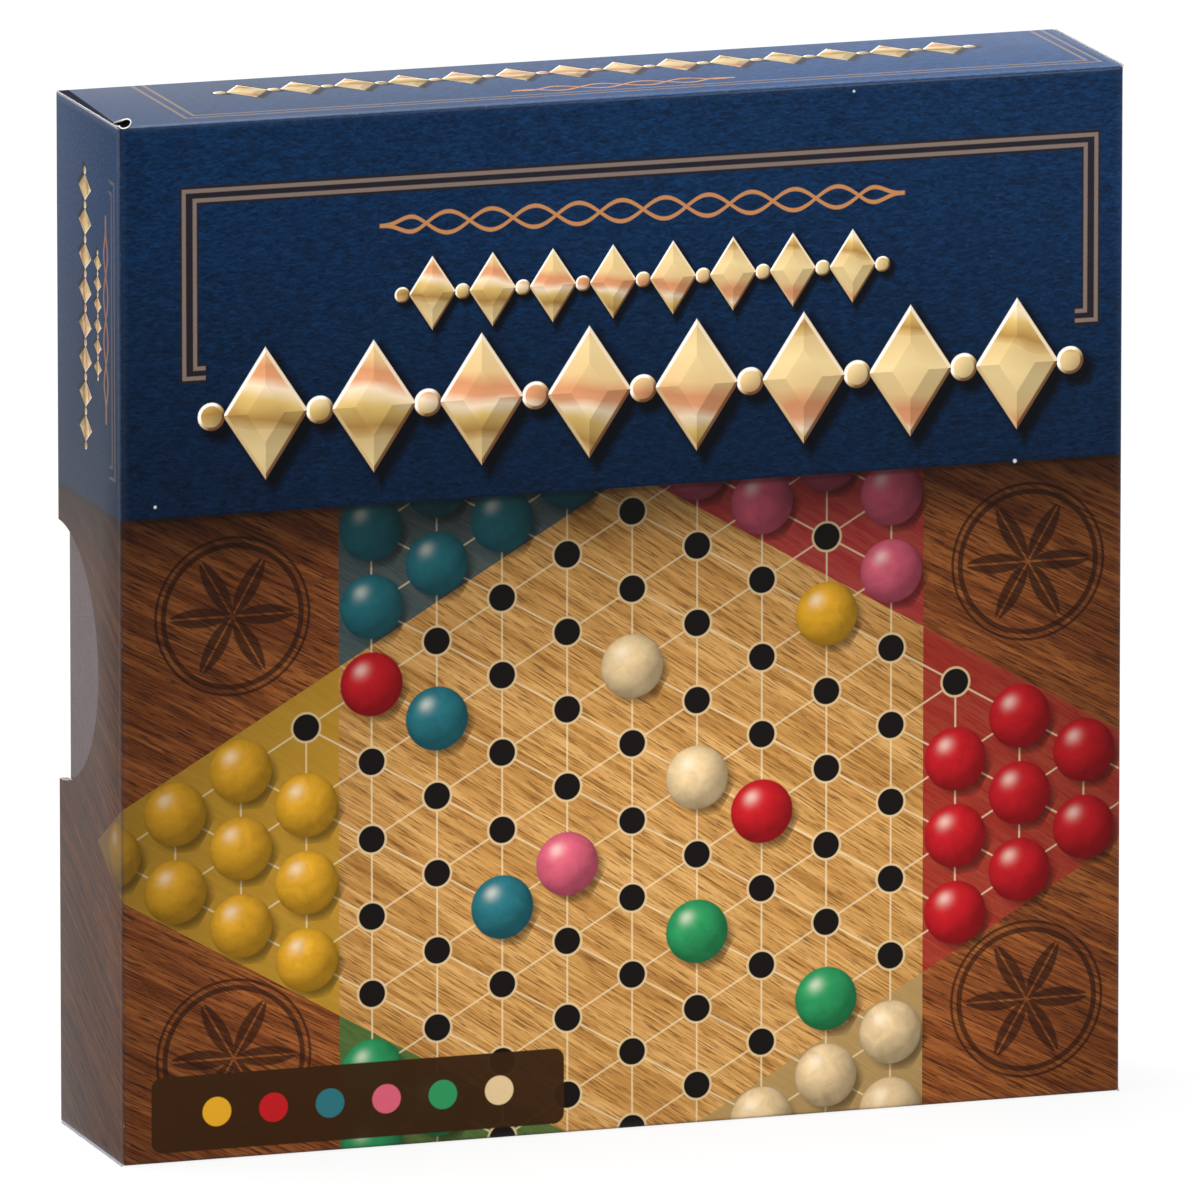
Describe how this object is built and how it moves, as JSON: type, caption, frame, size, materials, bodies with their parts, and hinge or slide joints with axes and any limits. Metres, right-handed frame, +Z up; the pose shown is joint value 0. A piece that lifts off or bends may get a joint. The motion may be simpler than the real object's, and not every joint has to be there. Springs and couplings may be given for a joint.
{
  "type": "boxed chinese checkers set",
  "caption": "Square rigid game box with a full-depth lift-off lid and thumb notches, packed with a star marble board, a formed insert tray, marbles and a folded leaflet.",
  "frame": {"origin": "bottom centre of the closed box as it stands on its lower wall", "axes": "+Z up, -Y out of the printed front panel, +X to the right seen from the front"},
  "size_m": [0.2666, 0.0534, 0.2667],
  "materials": {
    "grey_board": "raw grey chipboard",
    "printed_paper": "printed and matt-laminated wrapping paper",
    "corner_tape": "gummed paper tape",
    "plain_paper": "plain uncoated grey paper",
    "formed_plastic": "vacuum-formed black sheet",
    "board_core": "fibreboard with sanded edges",
    "board_print": "printed oak-pattern sheet under satin lacquer",
    "board_backing": "plain brown backing sheet",
    "marble_red": "satin lacquer",
    "marble_green": "satin lacquer",
    "marble_pink": "satin lacquer",
    "marble_yellow": "satin lacquer",
    "marble_blue": "satin lacquer",
    "marble_white": "satin lacquer",
    "leaflet_paper": "uncoated folded sheet"
  },
  "bodies": {
    "base": {"base_tray": "grey_board", "base_wrap": "plain_paper", "base_corner_tapes": "corner_tape"},
    "lid": {"lid_shell": "grey_board", "lid_wrap": "printed_paper", "lid_corner_tapes": "corner_tape"},
    "insert": {"insert_tray": "formed_plastic"},
    "board": {"board_panel": "board_core", "board_face": "board_print", "board_back": "board_backing"},
    "leaflet": {"rules_leaflet": "leaflet_paper"},
    "marbles_red": {"marbles_red": "marble_red"},
    "marbles_green": {"marbles_green": "marble_green"},
    "marbles_pink": {"marbles_pink": "marble_pink"},
    "marbles_yellow": {"marbles_yellow": "marble_yellow"},
    "marbles_blue": {"marbles_blue": "marble_blue"},
    "marbles_white": {"marbles_white": "marble_white"}
  },
  "joints": [
    {"name": "lid_lift", "type": "slide", "parent": "base", "child": "lid", "axis": [0, -1, 0], "range_m": [0, 0.3]},
    {"name": "insert_lift", "type": "slide", "parent": "base", "child": "insert", "axis": [0, -1, 0], "range_m": [0, 0.075]},
    {"name": "marbles_red_lift", "type": "slide", "parent": "base", "child": "marbles_red", "axis": [0, -1, 0], "range_m": [0, 0.12]},
    {"name": "marbles_green_lift", "type": "slide", "parent": "base", "child": "marbles_green", "axis": [0, -1, 0], "range_m": [0, 0.12]},
    {"name": "marbles_pink_lift", "type": "slide", "parent": "base", "child": "marbles_pink", "axis": [0, -1, 0], "range_m": [0, 0.12]},
    {"name": "marbles_yellow_lift", "type": "slide", "parent": "base", "child": "marbles_yellow", "axis": [0, -1, 0], "range_m": [0, 0.12]},
    {"name": "marbles_blue_lift", "type": "slide", "parent": "base", "child": "marbles_blue", "axis": [0, -1, 0], "range_m": [0, 0.12]},
    {"name": "marbles_white_lift", "type": "slide", "parent": "base", "child": "marbles_white", "axis": [0, -1, 0], "range_m": [0, 0.12]},
    {"name": "leaflet_lift", "type": "slide", "parent": "base", "child": "leaflet", "axis": [0, -1, 0], "range_m": [0, 0.135]},
    {"name": "board_lift", "type": "slide", "parent": "base", "child": "board", "axis": [0, -1, 0], "range_m": [0, 0.18]}
  ],
  "couplings": [
    {"joint": "insert_lift", "follows": "lid_lift", "ratio": 0.25},
    {"joint": "marbles_red_lift", "follows": "lid_lift", "ratio": 0.4},
    {"joint": "marbles_green_lift", "follows": "lid_lift", "ratio": 0.4},
    {"joint": "marbles_pink_lift", "follows": "lid_lift", "ratio": 0.4},
    {"joint": "marbles_yellow_lift", "follows": "lid_lift", "ratio": 0.4},
    {"joint": "marbles_blue_lift", "follows": "lid_lift", "ratio": 0.4},
    {"joint": "marbles_white_lift", "follows": "lid_lift", "ratio": 0.4},
    {"joint": "leaflet_lift", "follows": "lid_lift", "ratio": 0.45},
    {"joint": "board_lift", "follows": "lid_lift", "ratio": 0.6}
  ]
}
